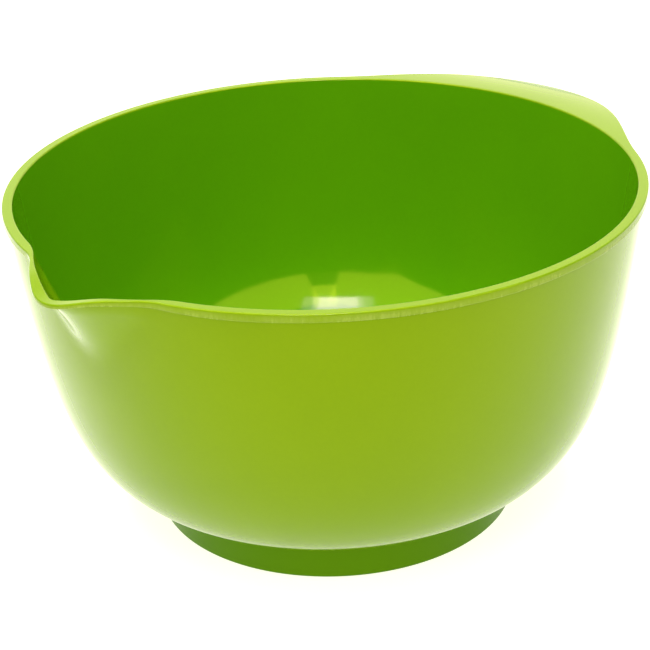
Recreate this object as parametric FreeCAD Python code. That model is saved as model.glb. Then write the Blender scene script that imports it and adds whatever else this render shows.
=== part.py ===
import FreeCAD, Part
import math
import os

os.makedirs("parts", exist_ok=True)

# Millimetres. Z is up and Z = 0 is the surface the bowl stands on.
# The spout points to -X and the grip to +X.

# Whole bowl
rim_radius = 109.4
rim_top = 121.0
ring_proud = 1.0

# Foot and base
foot_radius = 64.7
foot_taper = 0.4
foot_inner_radius = 56.2
foot_edge_round = 0.6
foot_wall_blend = 2.2
base_blend = 3.0
base_underside = 9.6

# Wall: the outer curve runs from the foot to the rim, and the wall is a little thicker low down.
# The two fractions are of the way along the curve.
wall = 3.0
wall_extra = 0.7
wall_extra_until = 0.3
wall_extra_fade = 0.4
wall_start_slope = math.radians(19.3)
wall_start_height = 14.7
wall_start_reach = 27.8
wall_end_radius = 108.9
wall_end_slope = math.radians(6.4)
wall_end_reach = 77.2

# Rim band, proud of the wall
land_round_in = 0.6
land_round_out = 0.5
band_height = 2.9
band_round_low = 0.3
band_corner = 0.25

# Pouring spout: a vee in plan that runs out down the wall, with a lip that dips at the tip
spout_reach = 16.0
spout_channel_reach = 14.9
spout_depth = 33.0
spout_fade = 1.7
spout_rim_half_angle = 14.3
spout_wall_half_angle = 16.0
spout_channel_half_angle = 17.6
spout_nose_blend = 4.0
spout_wall_blend = 8.0
spout_channel_blend = 0.8
spout_neck_blend = 0.16
spout_dip = 2.3
spout_dip_half_angle = 9.0
spout_band_half_angle = 30.0
spout_band_loss = 1.4

# Grip: a flange that droops towards its outer edge
grip_reach = 21.3
grip_half_angle = 40.0
grip_droop = 3.2
grip_edge_round = 0.7
grip_root_blend = 4.0

# Groove under the foot and the soft ring in it
groove_radius = 60.4
groove_width = 4.6
groove_depth = 3.6
ring_side_gap = 0.2
ring_top_gap = 0.15
ring_foot_round = 0.7
ring_top_round = 0.4

# Smoothness of the curved faces
around = 240
wall_spans = 24
land_spans = 5
round_spans = 3
tiny = 1e-6

axis = FreeCAD.Vector(0, 0, 1)
origin = FreeCAD.Vector(0, 0, 0)
foot_bottom = ring_proud
wall_start_radius = foot_radius + foot_taper + foot_wall_blend * (1 - math.sin(wall_start_slope))

wall_poles = [
    (wall_start_radius, wall_start_height),
    (
        wall_start_radius + wall_start_reach * math.cos(wall_start_slope),
        wall_start_height + wall_start_reach * math.sin(wall_start_slope),
    ),
    (
        wall_end_radius - wall_end_reach * math.sin(wall_end_slope),
        rim_top - wall_end_reach * math.cos(wall_end_slope),
    ),
    (wall_end_radius, rim_top),
]


def swell(away, half_width):
    """Smooth hump: 1 in the middle and 0 from half_width outwards."""
    if abs(away) >= half_width:
        return 0.0
    return 0.5 + 0.5 * math.cos(math.pi * away / half_width)


def thickness(t):
    return wall + wall_extra * swell(max(0.0, t - wall_extra_until), wall_extra_fade)


def wall_point(t, depth):
    """Point of the wall at t along its curve. Depth is 0 on the outside and 1 on the inside."""
    a, b, c, d = wall_poles
    s = 1 - t
    r = s ** 3 * a[0] + 3 * s * s * t * b[0] + 3 * s * t * t * c[0] + t ** 3 * d[0]
    z = s ** 3 * a[1] + 3 * s * s * t * b[1] + 3 * s * t * t * c[1] + t ** 3 * d[1]
    dr = s * s * (b[0] - a[0]) + 2 * s * t * (c[0] - b[0]) + t * t * (d[0] - c[0])
    dz = s * s * (b[1] - a[1]) + 2 * s * t * (c[1] - b[1]) + t * t * (d[1] - c[1])
    inset = depth * thickness(t) / math.hypot(dr, dz)
    return r - inset * dz, z + inset * dr


def wall_parameter(height, depth):
    """Parameter at which the wall reaches a height."""
    low = 0.0
    high = 1.0
    while high - low > tiny:
        middle = (low + high) / 2
        if wall_point(middle, depth)[1] < height:
            low = middle
        else:
            high = middle
    return high


def vee(angle, half_angle, tip_blend):
    """1 at the spout's tip falling straight to 0 at the necks, rounded at both."""
    away = abs(angle)
    if away < tip_blend:
        away = (away * away + tip_blend ** 2) / (2 * tip_blend)
    climb = 1 - away / half_angle
    if climb <= -spout_neck_blend:
        return 0.0
    if climb < spout_neck_blend:
        return (climb + spout_neck_blend) ** 2 / (4 * spout_neck_blend)
    return climb


def spout_bulge(from_tip, drop, reach, half_angle, tip_blend):
    """How far the spout pushes a wall out at a drop below the lip."""
    left = 1 - drop / spout_depth
    if left <= tiny:
        return 0.0
    return reach * left ** spout_fade * vee(from_tip / left, half_angle, tip_blend / left)


def inner_bulge(from_tip, drop):
    return spout_bulge(
        from_tip, drop, spout_channel_reach, spout_channel_half_angle, spout_channel_blend
    )


def outer_bulge(from_tip, drop):
    return spout_bulge(from_tip, drop, spout_reach, spout_wall_half_angle, spout_wall_blend)


def steps(spans):
    """Fractions from 0 to 1 that suit the control points of a clamped cubic."""
    return [0, 1 / 3 / spans] + [i / spans for i in range(1, spans)] + [1 - 1 / 3 / spans, 1]


def quarter(centre, radius, start):
    """Quarter round from start to start - 90 degrees."""
    points = []
    for part in steps(round_spans):
        turn = math.radians(start - 90 * part)
        points.append((centre[0] + radius * math.cos(turn), centre[1] + radius * math.sin(turn)))
    return points


def section(angle):
    """Outlines of the inner wall, the rim and the outer wall at one angle."""
    from_tip = angle - 180
    from_grip = (angle + 180) % 360 - 180
    grip = swell(from_grip, grip_half_angle)
    spout = vee(from_tip, spout_rim_half_angle, spout_nose_blend)
    top = rim_top - spout_dip * swell(from_tip, spout_dip_half_angle)
    band = band_height - spout_band_loss * swell(from_tip, spout_band_half_angle)
    droop = grip_droop * grip ** 2
    edge_round = land_round_out + grip_edge_round * grip
    r_out = rim_radius + spout_reach * spout + grip_reach * grip

    inner = []
    inner_end = wall_parameter(top - land_round_in, 1)
    for part in steps(wall_spans):
        r, z = wall_point(part * inner_end, 1)
        inner.append((r + inner_bulge(from_tip, top - z), z))

    r_in = inner[-1][0]

    def top_height(r):
        return top - droop * ((r - r_in) / (r_out - r_in)) ** 2

    land = inner[-1:] + quarter((r_in + land_round_in, inner[-1][1]), land_round_in, 180)[1:]
    land_start = r_in + land_round_in
    land_end = r_out - edge_round
    for part in steps(land_spans)[1:-1]:
        r = land_start + part * (land_end - land_start)
        land.append((r, top_height(r)))
    edge_top = top_height(land_end)
    land += quarter((land_end, edge_top - edge_round), edge_round, 90)

    band_low = edge_top - band
    low_centre = band_low + band_round_low
    under = [land[-1], (r_out, (land[-1][1] + low_centre) / 2)]
    under += quarter((r_out - band_round_low, low_centre), band_round_low, 0)
    root = band_corner + grip_root_blend * grip
    root_height = top - band - root
    top_t = wall_parameter(root_height, 0)
    r_wall = wall_point(top_t, 0)[0] + outer_bulge(from_tip, band + root)
    under_start = r_out - band_round_low
    under_end = r_wall + root
    for part in steps(land_spans)[1:-1]:
        r = under_start + part * (under_end - under_start)
        under.append((r, band_low + (top - band - band_low) * part ** 2))
    for part in steps(round_spans):
        turn = math.radians(90 + 90 * part)
        under.append((under_end + root * math.cos(turn), root_height + root * math.sin(turn)))

    outer = [under[-1]]
    for part in steps(wall_spans)[1:]:
        r, z = wall_point(top_t * (1 - part), 0)
        outer.append((r + outer_bulge(from_tip, top - z), z))
    return inner, land, under, outer


def ring_face(outlines):
    """Closed face around the Z axis with one outline of control points per angle."""
    grow = 3 / (2 + math.cos(2 * math.pi / around))
    rows = []
    for i, outline in enumerate(outlines):
        turn = 2 * math.pi * i / around
        rows.append([
            FreeCAD.Vector(r * grow * math.cos(turn), r * grow * math.sin(turn), z) for r, z in outline
        ])
    spans = len(outlines[0]) - 3
    surface = Part.BSplineSurface()
    surface.buildFromPolesMultsKnots(
        rows,
        [1] * (around + 1),
        [4] + [1] * (spans - 1) + [4],
        list(range(around + 1)),
        list(range(spans + 1)),
        True,
        False,
        3,
        3,
    )
    return surface.toShape()


def at(r, z):
    return FreeCAD.Vector(r, 0, z)


def line(a, b):
    return Part.makeLine(at(*a), at(*b))


def arc(a, middle, b):
    return Part.Arc(at(*a), at(*middle), at(*b)).toShape()


def corner_round(centre, radius, start, end):
    """Arc about a centre between two directions in degrees."""
    spots = []
    for turn in (start, (start + end) / 2, end):
        spots.append((
            centre[0] + radius * math.cos(math.radians(turn)),
            centre[1] + radius * math.sin(math.radians(turn)),
        ))
    return arc(*spots)


def make_base():
    """Turned faces: the foot with its groove, the underside and the inside floor."""
    slope = math.degrees(wall_start_slope)
    lean = math.degrees(math.atan2(foot_taper, wall_start_height - foot_bottom))
    blend_r = foot_radius + foot_taper + foot_wall_blend
    blend_z = wall_start_height - foot_wall_blend * math.cos(wall_start_slope)
    side_top = (
        blend_r - foot_wall_blend * math.cos(math.radians(lean)),
        blend_z + foot_wall_blend * math.sin(math.radians(lean)),
    )
    side_low = (foot_radius, foot_bottom + foot_edge_round)
    groove_out = groove_radius + groove_width / 2
    groove_in = groove_radius - groove_width / 2
    groove_top = foot_bottom + groove_depth
    inside_low = foot_bottom + foot_edge_round
    inside_top = base_underside - base_blend
    edges = [
        corner_round((blend_r, blend_z), foot_wall_blend, 90 + slope, 180 - lean),
        line(side_top, side_low),
        corner_round((foot_radius - foot_edge_round, inside_low), foot_edge_round, 0, -90),
        line((foot_radius - foot_edge_round, foot_bottom), (groove_out, foot_bottom)),
        line((groove_out, foot_bottom), (groove_out, groove_top)),
        line((groove_out, groove_top), (groove_in, groove_top)),
        line((groove_in, groove_top), (groove_in, foot_bottom)),
        line((groove_in, foot_bottom), (foot_inner_radius + foot_edge_round, foot_bottom)),
        corner_round((foot_inner_radius + foot_edge_round, inside_low), foot_edge_round, 270, 180),
        line((foot_inner_radius, inside_low), (foot_inner_radius, inside_top)),
        corner_round((foot_inner_radius - base_blend, inside_top), base_blend, 0, 90),
        line((foot_inner_radius - base_blend, base_underside), (0, base_underside)),
    ]
    floor = base_underside + thickness(0)
    floor_end = wall_point(0, 1)
    tangent = (floor_end[1] - floor) / math.sin(wall_start_slope)
    floor_sweep = tangent / math.tan(wall_start_slope / 2)
    floor_start = floor_end[0] - floor_sweep * math.sin(wall_start_slope)
    edges += [
        line((0, floor), (floor_start, floor)),
        corner_round((floor_start, floor + floor_sweep), floor_sweep, -90, slope - 90),
    ]
    return [edge.revolve(origin, axis, 360) for edge in edges]


def make_bowl():
    sections = [section(360 * i / around) for i in range(around)]
    faces = [ring_face([outlines[part] for outlines in sections]) for part in range(4)]
    for turned in make_base():
        faces += turned.Faces
    sewn = Part.makeCompound(faces)
    sewn.sewShape(0.001)
    return Part.makeSolid(sewn.Shells[0])


def make_ring():
    """Soft ring that stands proud of the foot by ring_proud."""
    outside = groove_radius + groove_width / 2 - ring_side_gap
    inside = groove_radius - groove_width / 2 + ring_side_gap
    top = foot_bottom + groove_depth - ring_top_gap
    profile = [
        line((inside + ring_foot_round, 0), (outside - ring_foot_round, 0)),
        corner_round((outside - ring_foot_round, ring_foot_round), ring_foot_round, -90, 0),
        line((outside, ring_foot_round), (outside, top - ring_top_round)),
        corner_round((outside - ring_top_round, top - ring_top_round), ring_top_round, 0, 90),
        line((outside - ring_top_round, top), (inside + ring_top_round, top)),
        corner_round((inside + ring_top_round, top - ring_top_round), ring_top_round, 90, 180),
        line((inside, top - ring_top_round), (inside, ring_foot_round)),
        corner_round((inside + ring_foot_round, ring_foot_round), ring_foot_round, 180, 270),
    ]
    face = Part.Face(Part.Wire(profile))
    return face.revolve(origin, axis, 360)


make_bowl().exportStep("parts/bowl_shell.step")
make_ring().exportStep("parts/anti_slip_ring.step")
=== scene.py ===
import math

import bpy
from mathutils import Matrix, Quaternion, Vector


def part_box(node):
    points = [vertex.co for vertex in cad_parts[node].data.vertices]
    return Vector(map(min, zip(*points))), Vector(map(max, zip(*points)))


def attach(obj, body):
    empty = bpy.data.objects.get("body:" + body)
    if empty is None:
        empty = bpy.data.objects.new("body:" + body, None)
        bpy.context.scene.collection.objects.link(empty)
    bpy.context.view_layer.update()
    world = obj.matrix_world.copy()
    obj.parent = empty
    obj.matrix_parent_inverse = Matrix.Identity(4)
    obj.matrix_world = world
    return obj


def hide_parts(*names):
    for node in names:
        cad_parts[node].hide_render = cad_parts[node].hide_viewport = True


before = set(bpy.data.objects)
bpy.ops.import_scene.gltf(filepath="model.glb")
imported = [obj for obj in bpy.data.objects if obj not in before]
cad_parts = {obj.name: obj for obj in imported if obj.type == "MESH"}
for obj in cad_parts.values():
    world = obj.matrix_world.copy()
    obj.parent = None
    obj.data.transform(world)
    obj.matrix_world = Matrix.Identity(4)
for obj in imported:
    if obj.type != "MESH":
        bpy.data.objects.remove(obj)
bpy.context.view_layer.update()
bowl_low, bowl_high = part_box("bowl_shell")
ring_low, ring_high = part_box("anti_slip_ring")

# Metres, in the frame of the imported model: Z up, the spout at -X and the grip at +X.
MM = 0.001

# Whole bowl
rim_radius = bowl_high.y
rim_top = bowl_high.z

# Foot and base
foot_bottom = bowl_low.z
foot_radius = 64.7 * MM
foot_taper = 0.4 * MM
foot_inner_radius = 56.2 * MM
foot_edge_round = 0.6 * MM
foot_wall_blend = 2.2 * MM
base_blend = 3.0 * MM
base_underside = 9.6 * MM

# Wall: the outer curve runs from the foot to the rim, and the wall is a little thicker low down.
# The two fractions are of the way along the curve.
wall = 3.0 * MM
wall_extra = 0.7 * MM
wall_extra_until = 0.3
wall_extra_fade = 0.4
wall_start_slope = math.radians(19.3)
wall_start_height = 14.7 * MM
wall_start_reach = 27.8 * MM
wall_end_radius = rim_radius - 0.5 * MM
wall_end_slope = math.radians(6.4)
wall_end_reach = 77.2 * MM

# Rim band, proud of the wall
land_round_in = 0.6 * MM
land_round_out = 0.5 * MM
band_height = 2.9 * MM
band_round_low = 0.3 * MM
band_corner = 0.25 * MM

# Pouring spout: a vee in plan that runs out down the wall, with a lip that dips at the tip
spout_channel_reach = 14.9 * MM
spout_depth = 33.0 * MM
spout_fade = 1.7
spout_rim_half_angle = 14.3
spout_wall_half_angle = 16.0
spout_channel_half_angle = 17.6
spout_nose_blend = 4.0
spout_wall_blend = 8.0
spout_channel_blend = 0.8
spout_neck_blend = 0.16
spout_dip = 2.3 * MM
spout_dip_half_angle = 9.0
spout_band_half_angle = 30.0
spout_band_loss = 1.4 * MM

# Grip: a flange that droops towards its outer edge
grip_reach = bowl_high.x - rim_radius
grip_half_angle = 40.0
grip_droop = 3.2 * MM
grip_edge_round = 0.7 * MM
grip_root_blend = 4.0 * MM

# Bulge of the spout's inside at which the inside's painted shade has faded out, leaving the spout's
# channel in the outside's lighter green as painted light
spout_shade_fade_bulge = 4.0 * MM

# Groove under the foot, round the soft ring
ring_side_gap = 0.2 * MM
ring_top_gap = 0.15 * MM
groove_edge_round = 0.25 * MM

# Soft ring
ring_inner_radius = 58.3 * MM
ring_corner_round = 0.45 * MM
ring_rib_height = 0.12 * MM
ring_side_ribs = 3
ring_sole_slots = 72
ring_slot_depth = 0.35 * MM

# Direction that the camera looks in, seen from above
view_heading = math.radians(44.19)

# Fineness of the meshes
bowl_around = 420
spout_crowding = 0.35
inner_wall_spans = 44
outer_wall_spans = 48
flat_spans = 10
ring_around = 864
ring_spans_per_rib = 8
tiny = 1e-6

# The bowl's marks: the rows of points they fade over, and the band mark where its underside starts
foot_mark_rows = 6
band_mark_rows = 3
under_mark_start = 0.8

# Colours of the bowl, each in two close tones: the outside's own green, and the inside's green darkened
# as painted shade; then the foot's green, darkened as painted shade, and its worn rim band
outside_greens = (0.140, 0.236, 0.001, 1), (0.128, 0.223, 0.001, 1)
inside_shaded_greens = (0.077, 0.254, 0.001, 1), (0.070, 0.239, 0.001, 1)
foot_shaded_green = (0.074, 0.190, 0.001, 1)
worn_green = (0.300, 0.350, 0.090, 1)

# Colours of the ring, and of the floor
rubber_tones = (0.040, 0.058, 0.032, 1), (0.060, 0.082, 0.048, 1)
dust_colour = (0.2, 0.22, 0.18, 1)
floor_tones = (0.50, 0.50, 0.42, 1), (0.52, 0.52, 0.44, 1)
floor_glow = (1, 1, 0.84, 1)
floor_half_width = 8.0

# Reflections seen head-on hold little blue
gloss_tint = (1, 1, 0.05, 1)

# Surroundings, and softboxes that face a point inside the bowl. The key is three nested panels, each
# with a width, a length and a power.
sky_colour = (1, 1, 0.9, 1)
sky_strength = 0.8
aim_height = rim_top / 4
key_panels = (0.46, 0.32, 140), (0.6, 0.34, 85), (0.84, 0.36, 55)
key_colour = (0.062, 0.043, 1)
behind_colour = (1, 0.9, 0.4)


def swell(away, half_width):
    """Smooth hump: 1 in the middle and 0 from half_width outwards."""
    if abs(away) >= half_width:
        return 0.0
    return 0.5 + 0.5 * math.cos(math.pi * away / half_width)


def thickness(t):
    return wall + wall_extra * swell(max(0.0, t - wall_extra_until), wall_extra_fade)


def wall_point(t, depth):
    """Point of the wall at t along its curve. Depth is 0 on the outside and 1 on the inside."""
    a, b, c, d = wall_poles
    s = 1 - t
    r = s ** 3 * a[0] + 3 * s * s * t * b[0] + 3 * s * t * t * c[0] + t ** 3 * d[0]
    z = s ** 3 * a[1] + 3 * s * s * t * b[1] + 3 * s * t * t * c[1] + t ** 3 * d[1]
    dr = s * s * (b[0] - a[0]) + 2 * s * t * (c[0] - b[0]) + t * t * (d[0] - c[0])
    dz = s * s * (b[1] - a[1]) + 2 * s * t * (c[1] - b[1]) + t * t * (d[1] - c[1])
    inset = depth * thickness(t) / math.hypot(dr, dz)
    return r - inset * dz, z + inset * dr


def wall_parameter(height, depth):
    """Parameter at which the wall reaches a height."""
    low = 0.0
    high = 1.0
    while high - low > tiny:
        middle = (low + high) / 2
        if wall_point(middle, depth)[1] < height:
            low = middle
        else:
            high = middle
    return high


def vee(angle, half_angle, tip_blend):
    """1 at the spout's tip falling straight to 0 at the necks, rounded at both."""
    away = abs(angle)
    if away < tip_blend:
        away = (away * away + tip_blend ** 2) / (2 * tip_blend)
    climb = 1 - away / half_angle
    if climb <= -spout_neck_blend:
        return 0.0
    if climb < spout_neck_blend:
        return (climb + spout_neck_blend) ** 2 / (4 * spout_neck_blend)
    return climb


def spout_bulge(from_tip, drop, reach, half_angle, tip_blend):
    """How far the spout pushes a wall out at a drop below the lip."""
    left = 1 - drop / spout_depth
    if left <= tiny:
        return 0.0
    return reach * left ** spout_fade * vee(from_tip / left, half_angle, tip_blend / left)


def inner_bulge(from_tip, drop):
    return spout_bulge(
        from_tip, drop, spout_channel_reach, spout_channel_half_angle, spout_channel_blend
    )


def outer_bulge(from_tip, drop):
    return spout_bulge(from_tip, drop, spout_reach, spout_wall_half_angle, spout_wall_blend)


def even(spans):
    return [i / spans for i in range(spans + 1)]


def held(spans):
    """Even fractions from 0 to 1, with one more near each end to hold the edge there."""
    inside = [i / spans for i in range(1, spans)]
    return [0, 0.2 / spans] + inside + [1 - 0.2 / spans, 1]


def arc(centre, radius, start, end, spans):
    """Points of an arc between two directions in degrees."""
    points = []
    for part in even(spans):
        turn = math.radians(start + (end - start) * part)
        points.append((centre[0] + radius * math.cos(turn), centre[1] + radius * math.sin(turn)))
    return points


def straight(a, b, spans):
    return [(a[0] + (b[0] - a[0]) * part, a[1] + (b[1] - a[1]) * part) for part in held(spans)]


def floor_outline():
    """Inside floor from its middle out to the wall."""
    floor = base_underside + thickness(0)
    end = wall_point(0, 1)
    sweep = (end[1] - floor) / math.sin(wall_start_slope) / math.tan(wall_start_slope / 2)
    start = end[0] - sweep * math.sin(wall_start_slope)
    turn = math.degrees(wall_start_slope)
    flat = straight((0, floor), (start, floor), flat_spans)[1:]
    return flat[:-1] + arc((start, floor + sweep), sweep, -90, turn - 90, 8)[:-1]


def base_outline():
    """Foot, groove and underside, from the wall to the middle."""
    slope = math.degrees(wall_start_slope)
    lean = math.degrees(math.atan2(foot_taper, wall_start_height - foot_bottom))
    blend_r = foot_radius + foot_taper + foot_wall_blend
    blend_z = wall_start_height - foot_wall_blend * math.cos(wall_start_slope)
    edge = foot_edge_round
    groove_out = ring_high.x + ring_side_gap
    groove_in = ring_inner_radius - ring_side_gap
    groove_top = ring_high.z + ring_top_gap
    low = foot_bottom + edge
    turn = groove_edge_round
    top = base_underside - base_blend
    runs = [
        arc((blend_r, blend_z), foot_wall_blend, 90 + slope, 180 - lean, 8),
        arc((foot_radius - edge, low), edge, 0, -90, 5),
        arc((groove_out + turn, foot_bottom + turn), turn, -90, -180, 3),
        arc((groove_out - turn, groove_top - turn), turn, 0, 90, 3),
        arc((groove_in + turn, groove_top - turn), turn, 90, 180, 3),
        arc((groove_in - turn, foot_bottom + turn), turn, 0, -90, 3),
        arc((foot_inner_radius + edge, low), edge, 270, 180, 5),
        arc((foot_inner_radius - base_blend, top), base_blend, 0, 90, 8),
    ]
    spans = [6, 1, 2, 2, 2, 1, 2]
    points = runs[0][1:]
    for run, count in zip(runs[1:], spans):
        points += straight(points[-1], run[0], count)[1:-1] + run
    return points + straight(points[-1], (0, base_underside), flat_spans)[1:-1]


def rim_and_wall_outline(angle):
    """Inner wall, rim land, rim band and outer wall at one angle, as one list for each."""
    from_tip = angle - 180
    from_grip = (angle + 180) % 360 - 180
    grip = swell(from_grip, grip_half_angle)
    spout = vee(from_tip, spout_rim_half_angle, spout_nose_blend)
    top = rim_top - spout_dip * swell(from_tip, spout_dip_half_angle)
    band = band_height - spout_band_loss * swell(from_tip, spout_band_half_angle)
    droop = grip_droop * grip ** 2
    edge_round = land_round_out + grip_edge_round * grip
    r_out = rim_radius + spout_reach * spout + grip_reach * grip

    inner = []
    inner_end = wall_parameter(top - land_round_in, 1)
    for part in even(inner_wall_spans):
        r, z = wall_point(part * inner_end, 1)
        inner.append((r + inner_bulge(from_tip, top - z), z))

    r_in = inner[-1][0]
    land = arc((r_in + land_round_in, inner[-1][1]), land_round_in, 180, 90, 6)[1:]
    land_start = r_in + land_round_in
    land_end = r_out - edge_round
    for part in held(6)[1:]:
        r = land_start + part * (land_end - land_start)
        land.append((r, top - droop * ((r - r_in) / (r_out - r_in)) ** 2))
    edge_top = land[-1][1]
    land += arc((land_end, edge_top - edge_round), edge_round, 90, 0, 7)[1:]

    band_low = edge_top - band
    low_centre = (r_out - band_round_low, band_low + band_round_low)
    side = straight(land[-1], (r_out, low_centre[1]), 3)[1:]
    side += arc(low_centre, band_round_low, 0, -90, 4)[1:]

    root = band_corner + grip_root_blend * grip
    root_height = top - band - root
    top_t = wall_parameter(root_height, 0)
    r_wall = wall_point(top_t, 0)[0] + outer_bulge(from_tip, band + root)
    under_start = r_out - band_round_low
    under_end = r_wall + root
    under = []
    for part in held(5)[1:-1]:
        r = under_start + part * (under_end - under_start)
        under.append((r, band_low + (top - band - band_low) * part ** 2))
    under += arc((under_end, root_height), root, 90, 180, 6)

    outer = []
    for part in even(outer_wall_spans)[1:]:
        r, z = wall_point(top_t * (1 - part), 0)
        outer.append((r + outer_bulge(from_tip, top - z), z))
    return inner, land, side, under, outer


def bowl_angle(step):
    """Angle of one section: they crowd together at the spout, where the shape turns tightly."""
    across = 2 * step / bowl_around - 1
    from_tip = 180 * across * (spout_crowding + (1 - spout_crowding) * across ** 2)
    return from_tip + 180


def closed_mesh(name, rows, marks, capped):
    """Mesh through one outline of points per angle.

    If capped, the outline's ends are closed over at the Z axis, and otherwise they meet each other.
    """
    around = len(rows)
    count = len(rows[0])
    points = [point for row in rows for point in row]
    faces = []
    for i in range(around):
        here = i * count
        there = (i + 1) % around * count
        for j in range(count - 1):
            faces.append((here + j, here + j + 1, there + j + 1, there + j))
        if not capped:
            faces.append((here + count - 1, here, there, there + count - 1))
    if capped:
        first = len(points)
        points.append((0, 0, rows[0][0][2]))
        points.append((0, 0, rows[0][-1][2]))
        for i in range(around):
            here = i * count
            there = (i + 1) % around * count
            faces.append((first, here, there))
            faces.append((here + count - 1, first + 1, there + count - 1))
    mesh = bpy.data.meshes.new(name)
    mesh.from_pydata(points, [], faces)
    for mark, values in marks.items():
        layer = mesh.attributes.new(mark, "FLOAT", "POINT")
        layer.data.foreach_set("value", values + [values[0], values[-1]] * capped)
    mesh.shade_smooth()
    mesh.update()
    made = bpy.data.objects.new(name, mesh)
    bpy.context.scene.collection.objects.link(made)
    return made


def turned(r, z, angle):
    return r * math.cos(math.radians(angle)), r * math.sin(math.radians(angle)), z


def make_bowl():
    """Bowl with three marks for its material: one for painted shade on the inside, fading out in the
    spout's channel; band on the rim's side; and foot, which carries the foot's painted shade.
    """
    floor = floor_outline()
    base = base_outline()
    rows = []
    inside_shade = []
    band = []
    foot = []
    for i in range(bowl_around):
        angle = bowl_angle(i)
        inner, land, side, under, outer = rim_and_wall_outline(angle)
        outline = floor + inner + land + side + under + outer + base
        rows.append([turned(r, z, angle) for r, z in outline])
        # Painted shade over the inside floor and wall; it fades out in the spout's channel, where the
        # lighter green is painted light.
        inside_shade += [1.0] * len(floor)
        for r, z in inner:
            inside_shade.append(1 - min(1.0, inner_bulge(angle - 180, rim_top - z) / spout_shade_fade_bulge))
        inside_shade += [0.0] * (len(land) + len(side) + len(under) + len(outer) + len(base))
        band += [0.0] * (len(floor) + len(inner) + len(land))
        band += [min(1.0, (k + 1) / band_mark_rows) for k in range(len(side))]
        band += [max(0.0, under_mark_start - k / band_mark_rows) for k in range(len(under))]
        band += [0.0] * (len(outer) + len(base))
        # Foot mark, for the foot's painted shade, fading in over the first rows of the base.
        foot += [0.0] * (len(outline) - len(base))
        foot += [min(1.0, k / foot_mark_rows) for k in range(len(base))]
    return closed_mesh("bowl", rows, {"inside_shade": inside_shade, "band": band, "foot": foot}, True)


def make_ring():
    """Soft ring with fine ribs round its sides and short slots across its sole."""
    corner = ring_corner_round
    low = ring_low.z + corner
    top = ring_high.z - corner
    outside = ring_high.x - corner
    inside = ring_inner_radius + corner
    rows = []
    for i in range(ring_around):
        angle = 360 * i / ring_around
        slot = max(0.0, math.sin(math.radians(angle * ring_sole_slots))) ** 4
        lift = ring_slot_depth * slot
        outline = arc((outside, low + lift), corner, -90, 0, 5)
        for part in held(ring_side_ribs * ring_spans_per_rib)[1:-1]:
            dip = ring_rib_height * math.sin(math.pi * ring_side_ribs * part) ** 2
            outline.append((outside + corner - dip, low + lift + part * (top - low - lift)))
        outline += arc((outside, top), corner, 0, 90, 5)
        outline += straight((outside, ring_high.z), (inside, ring_high.z), 3)[1:-1]
        outline += arc((inside, top), corner, 90, 180, 5)
        outline += straight((ring_inner_radius, top), (ring_inner_radius, low + lift), 3)[1:-1]
        outline += arc((inside, low + lift), corner, 180, 270, 5)
        outline += straight((inside, ring_low.z + lift), (outside, ring_low.z + lift), 3)[1:-1]
        rows.append([turned(r, z, angle) for r, z in outline])
    return closed_mesh("soft_ring", rows, {}, False)


class Recipe:
    """A material's nodes, with short calls for the ones used here."""

    def __init__(self, name):
        self.material = bpy.data.materials.new(name)
        self.material.use_nodes = True
        self.tree = self.material.node_tree
        self.shader = self.tree.nodes["Principled BSDF"]
        self.place = self.add("ShaderNodeTexCoord").outputs["Object"]

    def add(self, kind, **settings):
        node = self.tree.nodes.new(kind)
        for name, value in settings.items():
            setattr(node, name, value)
        return node

    def feed(self, socket, value):
        if isinstance(value, bpy.types.NodeSocket):
            self.tree.links.new(value, socket)
        else:
            socket.default_value = value

    def surface(self, name, value):
        self.feed(self.shader.inputs[name], value)

    def noise(self, scale, detail=2.0, roughness=0.5, vector=None):
        node = self.add("ShaderNodeTexNoise")
        self.feed(node.inputs["Vector"], vector or self.place)
        node.inputs["Scale"].default_value = scale
        node.inputs["Detail"].default_value = detail
        node.inputs["Roughness"].default_value = roughness
        return node.outputs["Fac"]

    def spread(self, value, low, high, to_low=0.0, to_high=1.0):
        """Value moved from the range low to high into another, and held there."""
        node = self.add("ShaderNodeMapRange", clamp=True)
        self.feed(node.inputs["Value"], value)
        node.inputs["From Min"].default_value = low
        node.inputs["From Max"].default_value = high
        node.inputs["To Min"].default_value = to_low
        node.inputs["To Max"].default_value = to_high
        return node.outputs["Result"]

    def math(self, operation, a, b):
        node = self.add("ShaderNodeMath", operation=operation)
        self.feed(node.inputs[0], a)
        self.feed(node.inputs[1], b)
        return node.outputs[0]

    def mark(self, name):
        return self.add("ShaderNodeAttribute", attribute_name=name).outputs["Fac"]

    def blend(self, share, a, b):
        node = self.add("ShaderNodeMix", data_type="RGBA")
        self.feed(node.inputs["Factor"], share)
        self.feed(node.inputs[6], a)
        self.feed(node.inputs[7], b)
        return node.outputs[2]

    def bump(self, height, distance, below=None):
        node = self.add("ShaderNodeBump")
        self.feed(node.inputs["Height"], height)
        node.inputs["Distance"].default_value = distance
        node.inputs["Strength"].default_value = 1.0
        if below is not None:
            self.feed(node.inputs["Normal"], below)
        return node.outputs["Normal"]


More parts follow.
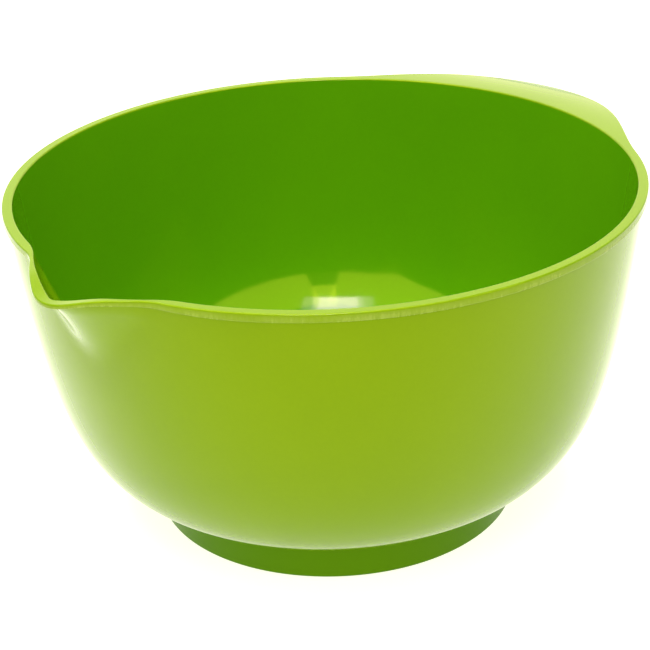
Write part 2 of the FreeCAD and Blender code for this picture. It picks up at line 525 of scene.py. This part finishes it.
def glossy_green():
    """Moulded melamine: glossy, faintly mottled, with a worn rim band; the inside and the foot are
    painted a darker green as painted shade, which leaves off in the spout's channel so that it shows
    lighter.
    """
    look = Recipe("glossy_green")
    cloud = look.noise(22, 3.0)
    fine = look.noise(700, 2.0)
    both = look.math("ADD", look.math("MULTIPLY", cloud, 0.7), look.math("MULTIPLY", fine, 0.3))
    mottle = look.spread(both, 0.35, 0.65)
    pale = look.blend(mottle, *outside_greens)
    # The inside's darker greens are painted shade, laid on where the inside mark is set.
    inside_shade = look.blend(mottle, *inside_shaded_greens)
    foot = look.mark("foot")
    colour = look.blend(look.mark("inside_shade"), pale, inside_shade)
    # Painted shade on the foot: a darker green where the foot mark is set.
    colour = look.blend(foot, colour, foot_shaded_green)
    stretch = look.add("ShaderNodeMapping")
    look.feed(stretch.inputs["Vector"], look.place)
    stretch.inputs["Scale"].default_value = (1, 1, 0.25)
    grain = look.spread(look.noise(900, 3.0, 0.6, stretch.outputs["Vector"]), 0.3, 0.7)
    patch = look.spread(look.noise(38, 3.0), 0.35, 0.6, 0.35, 1.0)
    streak = look.spread(grain, 0.0, 1.0, 0.45, 1.0)
    wear = look.math("MULTIPLY", look.math("MULTIPLY", look.mark("band"), patch), streak)
    colour = look.blend(look.math("MULTIPLY", wear, 0.45), colour, worn_green)
    look.surface("Base Color", colour)
    smear = look.spread(look.noise(45, 4.0, 0.6), 0.3, 0.7, 0.06, 0.11)
    look.surface("Roughness", look.math("ADD", smear, look.math("MULTIPLY", wear, 0.3)))
    look.surface("Specular IOR Level", look.spread(foot, 0.0, 1.0, 0.5, 0.2))
    look.surface("IOR", 1.4)
    look.surface("Specular Tint", gloss_tint)
    normal = look.bump(look.noise(60, 2.0), 0.02 * MM)
    look.surface("Normal", look.bump(wear, 0.02 * MM, below=normal))
    return look.material


def soft_rubber():
    """Dark moulded rubber: matte, with a fine grain and a little dust."""
    look = Recipe("soft_rubber")
    grain = look.noise(2500, 3.0, 0.6)
    dust = look.spread(look.noise(180, 5.0, 0.7), 0.5, 0.75)
    dark = look.blend(grain, *rubber_tones)
    colour = look.blend(look.math("MULTIPLY", dust, 0.25), dark, dust_colour)
    look.surface("Base Color", colour)
    look.surface("Roughness", look.spread(grain, 0.3, 0.7, 0.55, 0.75))
    look.surface("Specular Tint", gloss_tint)
    look.surface("Normal", look.bump(grain, 0.05 * MM))
    return look.material


def pale_floor():
    """Pale sheet that glows a little, like the top of a light table, so that shadows on it stay faint."""
    look = Recipe("pale_floor")
    colour = look.blend(look.noise(6, 2.0), *floor_tones)
    look.surface("Base Color", colour)
    look.surface("Roughness", 0.7)
    look.surface("Specular IOR Level", 0.2)
    look.surface("Emission Color", floor_glow)
    look.surface("Emission Strength", 0.9)
    return look.material


def put_on(made, material):
    made.data.materials.clear()
    made.data.materials.append(material)


def seen_from_camera(right, back, up):
    """Place to the right of the bowl, back from it towards the camera and up, as the camera sees it."""
    ahead = Vector((math.cos(view_heading), math.sin(view_heading), 0))
    return ahead.cross(Vector((0, 0, 1))) * right - ahead * back + Vector((0, 0, up))


def soft_light(name, place, width, length, power, gloss=True, diffuse=True, colour=(1, 1, 1)):
    """Rectangular softbox at a place, facing the bowl."""
    lamp = bpy.data.lights.new(name, "AREA")
    lamp.shape = "RECTANGLE"
    lamp.size = width
    lamp.size_y = length
    lamp.energy = power
    lamp.color = colour
    made = bpy.data.objects.new(name, lamp)
    made.location = place
    made.rotation_mode = "QUATERNION"
    made.rotation_quaternion = (Vector((0, 0, aim_height)) - Vector(place)).to_track_quat("-Z", "Y")
    made.visible_camera = False
    made.visible_glossy = gloss
    made.visible_diffuse = diffuse
    bpy.context.scene.collection.objects.link(made)


def make_floor():
    half = floor_half_width
    mesh = bpy.data.meshes.new("floor")
    corners = [(-half, -half, 0), (half, -half, 0), (half, half, 0), (-half, half, 0)]
    mesh.from_pydata(corners, [], [(0, 1, 2, 3)])
    made = bpy.data.objects.new("floor", mesh)
    bpy.context.scene.collection.objects.link(made)
    put_on(made, pale_floor())


def make_surroundings():
    world = bpy.data.worlds.new("studio")
    bpy.context.scene.world = world
    world.use_nodes = True
    background = world.node_tree.nodes["Background"]
    background.inputs["Color"].default_value = sky_colour
    background.inputs["Strength"].default_value = sky_strength
    bpy.context.scene.view_settings.view_transform = "Standard"


def make_camera():
    """Camera above the rim, on the spout's side."""
    bearing = math.radians(224.0)
    reach = 582.3 * MM
    height = 345.8 * MM
    tilt = math.radians(25.77)
    roll = math.radians(-2.47)
    data = bpy.data.cameras.new("camera")
    data.sensor_width = 36
    data.lens = 100.8
    camera = bpy.data.objects.new("camera", data)
    camera.location = (reach * math.cos(bearing), reach * math.sin(bearing), height)
    level = Vector((math.cos(view_heading), math.sin(view_heading), 0))
    look = level * math.cos(tilt) - Vector((0, 0, math.sin(tilt)))
    camera.rotation_mode = "QUATERNION"
    camera.rotation_quaternion = look.to_track_quat("-Z", "Y") @ Quaternion((0, 0, 1), roll)
    bpy.context.scene.collection.objects.link(camera)
    bpy.context.scene.camera = camera


spout_reach = (-bowl_low.x - rim_radius) / vee(0, spout_rim_half_angle, spout_nose_blend)
wall_start_radius = foot_radius + foot_taper + foot_wall_blend * (1 - math.sin(wall_start_slope))
wall_poles = [
    (wall_start_radius, wall_start_height),
    (
        wall_start_radius + wall_start_reach * math.cos(wall_start_slope),
        wall_start_height + wall_start_reach * math.sin(wall_start_slope),
    ),
    (
        wall_end_radius - wall_end_reach * math.sin(wall_end_slope),
        rim_top - wall_end_reach * math.cos(wall_end_slope),
    ),
    (wall_end_radius, rim_top),
]

bowl = make_bowl()
put_on(bowl, glossy_green())
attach(bowl, "bowl")
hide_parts("bowl_shell")

soft_ring = make_ring()
put_on(soft_ring, soft_rubber())
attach(soft_ring, "foot_ring")
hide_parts("anti_slip_ring")

make_floor()
make_surroundings()
key_place = seen_from_camera(-0.1, 1.1, 1.2)
soft_light("overhead", seen_from_camera(-0.12, 0, 1.4), 1.2, 1.2, 34)
soft_light("behind", seen_from_camera(0, -1.3, 0.72), 2.6, 1.3, 10, diffuse=False, colour=behind_colour)
soft_light("front", seen_from_camera(-0.1, 1.2, 1.1), 0.8, 0.8, 7, gloss=False)
for i, (width, length, power) in enumerate(key_panels):
    soft_light(f"key_{i}", key_place, width, length, power, diffuse=False, colour=key_colour)
soft_light("fill_left", seen_from_camera(-0.73, 1.09, 0.85), 1.5, 1.0, 21, diffuse=False)
soft_light("fill_middle", seen_from_camera(0.05, 1.31, 1.13), 0.3, 0.55, 3.2, diffuse=False)
soft_light("fill_right", seen_from_camera(0.82, 1.02, 0.85), 1.5, 1.0, 21, diffuse=False)
make_camera()
